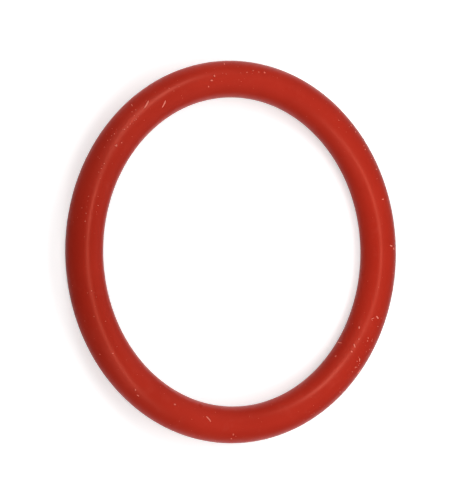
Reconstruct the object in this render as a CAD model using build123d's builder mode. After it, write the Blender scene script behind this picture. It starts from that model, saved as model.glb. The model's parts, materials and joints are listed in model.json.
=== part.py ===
from build123d import *

import os

# Moulded silicone O-ring, 25 mm bore by 3 mm section, lying flat.
#
# Units are millimetres. The origin is the ring's centre, on its axis and halfway through its
# thickness, and +Z runs along the axis. The ring is one moulded piece: a round section
# revolved once about the axis.

# Driving dimensions
inside_diameter = 25.0  # bore, between the innermost points of the section
section_diameter = 3.0  # thickness of the ring's round section

section_radius = section_diameter / 2
centreline_radius = inside_diameter / 2 + section_radius

with BuildPart() as o_ring:
    with BuildSketch(Plane.XZ):
        with Locations((centreline_radius, 0)):
            Circle(section_radius)
    revolve(axis=Axis.Z)

o_ring.part.label = "o_ring"

os.makedirs("parts", exist_ok=True)
export_step(o_ring.part, "parts/o_ring.step")
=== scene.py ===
import json
import random
from math import cos, pi, radians, sin, tau

import bmesh
import bpy
from mathutils import Matrix, Vector, noise


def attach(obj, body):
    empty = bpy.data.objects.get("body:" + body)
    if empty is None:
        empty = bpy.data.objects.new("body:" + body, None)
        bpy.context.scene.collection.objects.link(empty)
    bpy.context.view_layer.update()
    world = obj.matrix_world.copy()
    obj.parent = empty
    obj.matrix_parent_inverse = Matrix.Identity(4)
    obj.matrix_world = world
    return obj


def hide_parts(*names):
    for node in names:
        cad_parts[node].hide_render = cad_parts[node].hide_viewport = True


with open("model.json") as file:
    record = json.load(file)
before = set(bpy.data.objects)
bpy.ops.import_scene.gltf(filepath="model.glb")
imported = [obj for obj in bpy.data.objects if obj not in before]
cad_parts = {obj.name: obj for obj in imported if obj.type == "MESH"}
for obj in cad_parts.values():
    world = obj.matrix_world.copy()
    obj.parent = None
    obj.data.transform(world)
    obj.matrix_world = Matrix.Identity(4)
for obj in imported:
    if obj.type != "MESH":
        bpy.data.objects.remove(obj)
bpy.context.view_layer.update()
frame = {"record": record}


# Ring. One piece of red silicone rubber, pressed in a two-part mould and trimmed, with a round
# section all the way round. It lies flat, and its skin is satin with a fine, slightly uneven grain.

ring_mounts = {mount["name"]: mount["dims"]["r_mm"] / 1000 for mount in frame["record"]["mounts"]}
section_radius = (ring_mounts["outside"] - ring_mounts["bore"]) / 2
centreline_radius = (ring_mounts["outside"] + ring_mounts["bore"]) / 2

section_sides = 96
steps_round = 480
unevenness = 0.000006  # how far the skin strays from the true round section
unevenness_per_metre = 260  # how close together its waves lie, as for the patterns below

ring_mesh = bmesh.new()
bmesh.ops.create_circle(ring_mesh, cap_ends=False, segments=section_sides, radius=section_radius)
bmesh.ops.rotate(
    ring_mesh, verts=ring_mesh.verts, cent=(0, 0, 0), matrix=Matrix.Rotation(pi / 2, 3, "X")
)
bmesh.ops.translate(ring_mesh, verts=ring_mesh.verts, vec=(centreline_radius, 0, 0))
bmesh.ops.spin(
    ring_mesh,
    geom=ring_mesh.verts[:] + ring_mesh.edges[:],
    cent=(0, 0, 0),
    axis=(0, 0, 1),
    angle=tau,
    steps=steps_round,
    use_merge=True,
)
bmesh.ops.recalc_face_normals(ring_mesh, faces=ring_mesh.faces)
ring_mesh.normal_update()
for vert in ring_mesh.verts:
    wave = noise.noise(vert.co * unevenness_per_metre)
    vert.co -= vert.normal * unevenness * (1 + wave) / 2
for face in ring_mesh.faces:
    face.smooth = True

ring = bpy.data.objects.new("ring", bpy.data.meshes.new("ring"))
bpy.context.collection.objects.link(ring)
ring_mesh.to_mesh(ring.data)
ring_mesh.free()

silicone_red = (0.468, 0.0262, 0.0130, 1)
silicone_red_deep = (0.425, 0.0220, 0.0105, 1)
silicone_bloom = (0.500, 0.0480, 0.0300, 1)
bloom_share = 0.35  # how much of the bloom's colour shows where it is thickest
silicone_ior = 1.41
skin_gloss = 0.11
skin_gloss_tint = (1, 0.30, 0.20, 1)
skin_roughness = (0.27, 0.37)
skin_grain_height = 0.000010
skin_grain_strength = 0.5
pigment_per_metre = 160
bloom_per_metre = 900
handling_per_metre = 420
skin_grain_per_metre = 9000


def noise_pattern(nodes, links, coordinates, per_metre, detail, roughness=0.5):
    """A noise texture that follows the object's own coordinates, and its value socket."""
    pattern = nodes.new("ShaderNodeTexNoise")
    pattern.inputs["Scale"].default_value = per_metre
    pattern.inputs["Detail"].default_value = detail
    pattern.inputs["Roughness"].default_value = roughness
    links.new(coordinates, pattern.inputs["Vector"])
    return pattern.outputs["Fac"]


def spread(nodes, links, value, low, high, to_low, to_high):
    """Stretches a value from one range to another, and holds it inside the second."""
    ranged = nodes.new("ShaderNodeMapRange")
    ranged.inputs["From Min"].default_value = low
    ranged.inputs["From Max"].default_value = high
    ranged.inputs["To Min"].default_value = to_low
    ranged.inputs["To Max"].default_value = to_high
    links.new(value, ranged.inputs["Value"])
    return ranged.outputs["Result"]


def blend_colours(nodes, links, share, first, second):
    """Mixes two colours, or a colour socket and a colour, by a value."""
    mixed = nodes.new("ShaderNodeMix")
    mixed.data_type = "RGBA"
    links.new(share, mixed.inputs["Factor"])
    if isinstance(first, tuple):
        mixed.inputs["A"].default_value = first
    else:
        links.new(first, mixed.inputs["A"])
    mixed.inputs["B"].default_value = second
    return mixed.outputs["Result"]


silicone = bpy.data.materials.new("red_silicone")
silicone.use_nodes = True
nodes, links = silicone.node_tree.nodes, silicone.node_tree.links
skin = nodes["Principled BSDF"]
skin.inputs["Specular IOR Level"].default_value = skin_gloss
skin.inputs["Specular Tint"].default_value = skin_gloss_tint
skin.inputs["IOR"].default_value = silicone_ior
place = nodes.new("ShaderNodeTexCoord").outputs["Object"]

pigment = noise_pattern(nodes, links, place, pigment_per_metre, detail=3)
deepness = spread(nodes, links, pigment, 0.35, 0.65, 0, 1)
colour = blend_colours(nodes, links, deepness, silicone_red, silicone_red_deep)
bloom = noise_pattern(nodes, links, place, bloom_per_metre, detail=6, roughness=0.65)
bloomed = spread(nodes, links, bloom, 0.56, 0.78, 0, bloom_share)
colour = blend_colours(nodes, links, bloomed, colour, silicone_bloom)
links.new(colour, skin.inputs["Base Color"])

handling = noise_pattern(nodes, links, place, handling_per_metre, detail=4)
links.new(spread(nodes, links, handling, 0.3, 0.7, *skin_roughness), skin.inputs["Roughness"])

skin_grain = nodes.new("ShaderNodeBump")
skin_grain.inputs["Strength"].default_value = skin_grain_strength
skin_grain.inputs["Distance"].default_value = skin_grain_height
grain_pattern = noise_pattern(nodes, links, place, skin_grain_per_metre, detail=4, roughness=0.6)
links.new(grain_pattern, skin_grain.inputs["Height"])
links.new(skin_grain.outputs["Normal"], skin.inputs["Normal"])
ring.data.materials.append(silicone)

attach(ring, "root")
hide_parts("o_ring")


# Lint. Short torn fibres and crumbs that cling to the rubber, each a thin tube bent a little and
# drawn to a point at both ends. They are pressed into the skin, so they follow its curve.

# (angle round the ring, angle over the section, length, thickness, turn), degrees and millimetres.
# The section's angle is 0 at the outside, 90 on top and 180 at the bore. Turn 0 lies along the ring.
fibres = (
    (127, 61, 0.75, 0.12, 18),
    (122, 93, 0.65, 0.10, 28),
    (254, 97, 0.60, 0.11, -33),
    (322, 177, 0.60, 0.08, 90),
    (317.5, 52, 0.50, 0.06, 4),
    (336, 92, 0.30, 0.13, 66),
    (323, 122, 0.34, 0.11, 45),
    (1, 78, 0.28, 0.11, 70),
    (0, 66, 0.20, 0.11, 30),
    (17, 84, 0.22, 0.09, 80),
    (330, 135, 0.20, 0.11, 22),
    (130, 28, 0.30, 0.05, 60),
    (228, 48, 0.24, 0.05, 10),
    (335, 106, 0.30, 0.05, -40),
    (320, 82, 0.32, 0.06, 50),
    (95, 36, 0.28, 0.06, 75),
    (347, 45, 0.30, 0.05, 10),
)
fibre_sides = 8
fibre_steps = 10
fibre_bend = radians(12)
fibre_taper = 0.25  # thickness of the ends, as a share of the middle's
fibre_sunk = 0.35  # share of its thickness below the skin


def lay_on_ring(verts, ring_angle, section_angle, turn):
    """Moves a shape made flat at the origin, with Z up, onto the skin and bends it to fit."""
    for vert in verts:
        along, over, height = Matrix.Rotation(turn, 3, "Z") @ vert.co
        over_angle = section_angle + over / section_radius
        reach = centreline_radius + section_radius * cos(over_angle)
        round_angle = ring_angle + along / reach
        out = section_radius + height
        reach = centreline_radius + out * cos(over_angle)
        vert.co = (reach * cos(round_angle), reach * sin(round_angle), out * sin(over_angle))


def add_to(piece_mesh, part_mesh):
    """Adds one small bmesh to the mesh of the whole piece."""
    holder = bpy.data.meshes.new("part")
    part_mesh.to_mesh(holder)
    part_mesh.free()
    piece_mesh.from_mesh(holder)
    bpy.data.meshes.remove(holder)


lint_mesh = bmesh.new()
for ring_angle, section_angle, length, thickness, turn in fibres:
    length, thickness = length / 1000, thickness / 1000
    bend_radius = length / fibre_bend
    fibre = bmesh.new()
    bmesh.ops.create_circle(fibre, cap_ends=True, segments=fibre_sides, radius=thickness / 2)
    bmesh.ops.rotate(fibre, verts=fibre.verts, cent=(0, 0, 0), matrix=Matrix.Rotation(pi / 2, 3, "Y"))
    bmesh.ops.translate(fibre, verts=fibre.verts, vec=(0, bend_radius, 0))
    bmesh.ops.rotate(
        fibre, verts=fibre.verts, cent=(0, 0, 0), matrix=Matrix.Rotation(-fibre_bend / 2, 3, "Z")
    )
    bmesh.ops.spin(
        fibre,
        geom=fibre.verts[:] + fibre.edges[:] + fibre.faces[:],
        cent=(0, 0, 0),
        axis=(0, 0, 1),
        angle=fibre_bend,
        steps=fibre_steps,
    )
    bmesh.ops.translate(fibre, verts=fibre.verts, vec=(0, -bend_radius, thickness * (0.5 - fibre_sunk)))
    for vert in fibre.verts:
        share = min(1, abs(vert.co.x) / (length / 2))
        slim = 1 - (1 - fibre_taper) * share**3
        middle = -vert.co.x**2 / (2 * bend_radius)
        vert.co.y = middle + (vert.co.y - middle) * slim
        vert.co.z *= slim
    bmesh.ops.recalc_face_normals(fibre, faces=fibre.faces)
    lay_on_ring(fibre.verts, radians(ring_angle), radians(section_angle), radians(turn))
    add_to(lint_mesh, fibre)
bmesh.ops.recalc_face_normals(lint_mesh, faces=lint_mesh.faces)
for face in lint_mesh.faces:
    face.smooth = True

lint = bpy.data.objects.new("lint", bpy.data.meshes.new("lint"))
bpy.context.collection.objects.link(lint)
lint_mesh.to_mesh(lint.data)
lint_mesh.free()

lint_pale = (0.95, 0.28, 0.20, 1)  # tinted by the red below it
lint_dull = (0.82, 0.18, 0.12, 1)
lint_roughness = 0.9
lint_gloss = 0.2
tufts_per_metre = 4000

lint_matter = bpy.data.materials.new("pale_lint")
lint_matter.use_nodes = True
nodes, links = lint_matter.node_tree.nodes, lint_matter.node_tree.links
fluff = nodes["Principled BSDF"]
fluff.inputs["Roughness"].default_value = lint_roughness
fluff.inputs["Specular IOR Level"].default_value = lint_gloss
place = nodes.new("ShaderNodeTexCoord").outputs["Object"]
tufts = noise_pattern(nodes, links, place, tufts_per_metre, detail=3)
dullness = spread(nodes, links, tufts, 0.4, 0.65, 0, 1)
links.new(blend_colours(nodes, links, dullness, lint_pale, lint_dull), fluff.inputs["Base Color"])
lint.data.materials.append(lint_matter)

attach(lint, "root")


# Dust. Grains of dry dust stuck to the rubber, mostly on top, where they fall. The larger ones
# are placed one by one, and the rest are strewn. Each is a flattened, uneven crumb.

# (angle round the ring, angle over the section, width), degrees and millimetres
grains = (
    (100.6, 76, 0.17),
    (102, 88, 0.17),
    (103.6, 104, 0.12),
    (85.6, 64, 0.15),
    (83.6, 66, 0.12),
    (81.4, 64, 0.14),
    (27, 66, 0.13),
    (31, 64, 0.11),
    (36, 66, 0.10),
    (41.4, 62, 0.17),
    (44, 60, 0.16),
    (50, 57, 0.13),
    (144, 71, 0.19),
    (240, 96, 0.17),
    (264.5, 61, 0.17),
    (264.5, 44, 0.12),
    (307.6, 60, 0.15),
    (316, 155, 0.15),
    (320.6, 120, 0.15),
    (326, 120, 0.14),
    (319, 87, 0.11),
    (328, 76, 0.11),
    (132, 46, 0.13),
    (212, 66, 0.12),
    (226, 55, 0.13),
    (352, 62, 0.10),
)
# Stretches where more dust has gathered: (angle round the ring, angle over the section, grains).
dusty_stretches = ((138, 58, 22), (324, 84, 18), (160, 52, 9), (206, 54, 9), (40, 64, 8), (95, 62, 6))
stretch_reach = (7, 16)  # degrees round the ring, and over the section
stretch_width = (0.045, 0.11)  # millimetres
fine_grains = 200
fine_width = (0.022, 0.060)  # millimetres
fine_over = (80, 45)  # degrees over the section: the middle of the fine dust, and its reach
grain_flatness = 0.45
grain_stretch = (0.75, 1.3)
grain_unevenness = 0.28
grain_raised = 0.17  # how far its middle stands above the skin, as a share of its height

dust_draw = random.Random(26)
dust_mesh = bmesh.new()


def add_grain(ring_angle, section_angle, width):
    """One flattened, uneven crumb, about a third of it below the skin."""
    crumb = bmesh.new()
    bmesh.ops.create_icosphere(crumb, subdivisions=1, radius=width / 2)
    stretch = dust_draw.uniform(*grain_stretch)
    bmesh.ops.scale(crumb, verts=crumb.verts, vec=(stretch, 1 / stretch, grain_flatness))
    for vert in crumb.verts:
        vert.co *= 1 + dust_draw.uniform(-grain_unevenness, grain_unevenness)
    bmesh.ops.translate(crumb, verts=crumb.verts, vec=(0, 0, width * grain_flatness * grain_raised))
    lay_on_ring(crumb.verts, ring_angle, section_angle, dust_draw.uniform(0, pi))
    add_to(dust_mesh, crumb)


for ring_angle, section_angle, width in grains:
    add_grain(radians(ring_angle), radians(section_angle), width / 1000)
for ring_angle, section_angle, number in dusty_stretches:
    for grain in range(number):
        add_grain(
            radians(dust_draw.gauss(ring_angle, stretch_reach[0])),
            radians(dust_draw.gauss(section_angle, stretch_reach[1])),
            dust_draw.uniform(*stretch_width) / 1000,
        )
for grain in range(fine_grains):
    add_grain(
        dust_draw.uniform(0, tau),
        radians(dust_draw.gauss(*fine_over)),
        dust_draw.uniform(*fine_width) / 1000,
    )
bmesh.ops.recalc_face_normals(dust_mesh, faces=dust_mesh.faces)
for face in dust_mesh.faces:
    face.smooth = True

dust = bpy.data.objects.new("dust", bpy.data.meshes.new("dust"))
bpy.context.collection.objects.link(dust)
dust_mesh.to_mesh(dust.data)
dust_mesh.free()

dust_pale = (0.90, 0.24, 0.17, 1)
dust_dull = (0.62, 0.10, 0.06, 1)
dust_roughness = 0.95
dust_gloss = 0.2
mottle_per_metre = 1500

dust_matter = bpy.data.materials.new("dry_dust")
dust_matter.use_nodes = True
nodes, links = dust_matter.node_tree.nodes, dust_matter.node_tree.links
powder = nodes["Principled BSDF"]
powder.inputs["Roughness"].default_value = dust_roughness
powder.inputs["Specular IOR Level"].default_value = dust_gloss
place = nodes.new("ShaderNodeTexCoord").outputs["Object"]
mottle = noise_pattern(nodes, links, place, mottle_per_metre, detail=2)
dullness = spread(nodes, links, mottle, 0.4, 0.6, 0, 1)
links.new(blend_colours(nodes, links, dullness, dust_pale, dust_dull), powder.inputs["Base Color"])
dust.data.materials.append(dust_matter)

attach(dust, "root")


# Table top. A plain matt sheet that the ring lies on, at the height of the ring's lowest line.
# It looks white, but throws only a quarter of its light back onto the ring. Its glow shows to the
# camera and in gloss alone, and rises away from the ring, so the shadow stays and the rest is white.

floor_half_width = 1.2
floor_cells = 8
floor_seen = (1, 1, 1, 1)
floor_bounce = (0.26, 0.26, 0.26, 1)
glow_at_ring, glow_beyond = 0.42, 1.0
glow_rises = (0.020, 0.045)  # metres from the ring's centre

floor_mesh = bmesh.new()
bmesh.ops.create_grid(
    floor_mesh, x_segments=floor_cells, y_segments=floor_cells, size=floor_half_width
)
bmesh.ops.translate(floor_mesh, verts=floor_mesh.verts, vec=(0, 0, -section_radius))
floor = bpy.data.objects.new("floor", bpy.data.meshes.new("floor"))
bpy.context.collection.objects.link(floor)
floor_mesh.to_mesh(floor.data)
floor_mesh.free()


def seen_directly(nodes, links):
    """1 for rays that show a background: the camera's, and those in metal and glass."""
    path = nodes.new("ShaderNodeLightPath")
    total = path.outputs["Is Camera Ray"]
    for name in ("Is Glossy Ray", "Is Transmission Ray"):
        either = nodes.new("ShaderNodeMath")
        either.operation = "MAXIMUM"
        links.new(total, either.inputs[0])
        links.new(path.outputs[name], either.inputs[1])
        total = either.outputs["Value"]
    return total


board = bpy.data.materials.new("pale_board")
board.use_nodes = True
nodes, links = board.node_tree.nodes, board.node_tree.links
matt = nodes["Principled BSDF"]
matt.inputs["Roughness"].default_value = 1
matt.inputs["Specular IOR Level"].default_value = 0
directly = seen_directly(nodes, links)
links.new(blend_colours(nodes, links, directly, floor_bounce, floor_seen), matt.inputs["Base Color"])

from_centre = nodes.new("ShaderNodeVectorMath")
from_centre.operation = "LENGTH"
links.new(nodes.new("ShaderNodeTexCoord").outputs["Object"], from_centre.inputs[0])
distance = from_centre.outputs["Value"]
glow = nodes.new("ShaderNodeMath")
glow.operation = "MULTIPLY"
links.new(spread(nodes, links, distance, *glow_rises, glow_at_ring, glow_beyond), glow.inputs[0])
links.new(directly, glow.inputs[1])
links.new(glow.outputs["Value"], matt.inputs["Emission Strength"])
matt.inputs["Emission Color"].default_value = floor_seen
floor.data.materials.append(board)


# Light. A room that looks white but gives little light, a soft bar lamp close above the +X half of
# the ring, and three soft lamps low around it. Two strips far above, a long one along Y and a short
# one across its +Y end, draw the fine line of light along the tube, and show only in the gloss.

room_light = 0.02
room_seen = 1.0

world = bpy.data.worlds.new("room")
bpy.context.scene.world = world
world.use_nodes = True
nodes, links = world.node_tree.nodes, world.node_tree.links
brightness = nodes.new("ShaderNodeMix")
brightness.inputs["A"].default_value = room_light
brightness.inputs["B"].default_value = room_seen
links.new(seen_directly(nodes, links), brightness.inputs["Factor"])
links.new(brightness.outputs["Result"], nodes["Background"].inputs["Strength"])
nodes["Background"].inputs["Color"].default_value = (1, 1, 1, 1)


def add_lamp(name, place, width, length, watts, lights_skin=True):
    """A flat lamp that faces the ring's centre, with its length along Y and its width across."""
    lamp = bpy.data.lights.new(name, "AREA")
    lamp.shape = "RECTANGLE"
    lamp.size, lamp.size_y = width, length
    lamp.energy = watts
    holder = bpy.data.objects.new(name, lamp)
    bpy.context.collection.objects.link(holder)
    holder.visible_camera = False
    holder.visible_diffuse = lights_skin
    back = Vector(place).normalized()
    side = Vector((0, 1, 0)).cross(back).normalized()
    holder.matrix_world = Matrix.Translation(place) @ Matrix(
        (side, back.cross(side), back)
    ).transposed().to_4x4()


add_lamp("bar_lamp", (0.013, 0, 0.032), 0.03, 0.08, 0.0118)
add_lamp("side_lamp_far", (-0.039, 0.067, 0.045), 0.05, 0.05, 0.036)
add_lamp("side_lamp_near", (-0.039, -0.067, 0.045), 0.05, 0.05, 0.035)
add_lamp("edge_lamp", (0.078, 0, 0.045), 0.05, 0.10, 0.009)
add_lamp("strip_lamp", (-0.052, 0, 0.242), 0.024, 0.60, 2.9, lights_skin=False)
add_lamp("end_strip_lamp", (0.03, 0.22, 0.24), 0.12, 0.04, 1.2, lights_skin=False)


# Camera. It looks down on the flat ring from the -X side, and is turned so that +Y is up. The ring
# is seen from about seven times its own width, through a long lens.

lean = radians(31.7)  # between the line of sight and the ring's axis
roll = radians(1.1)
camera_distance = 0.2183
sideways, upward = -0.000576, 0.000154  # metres off the line to the ring's centre
focal_length = 194

back = Vector((-sin(lean), 0, cos(lean)))
right = Matrix.Rotation(-roll, 3, back) @ Vector((cos(lean), 0, sin(lean)))
up = back.cross(right)

camera = bpy.data.objects.new("camera", bpy.data.cameras.new("camera"))
bpy.context.collection.objects.link(camera)
camera.matrix_world = Matrix.Translation(
    right * sideways + up * upward + back * camera_distance
) @ Matrix((right, up, back)).transposed().to_4x4()
camera.data.lens = focal_length
camera.data.clip_start = 0.01
bpy.context.scene.camera = camera
bpy.context.scene.view_settings.view_transform = "Standard"
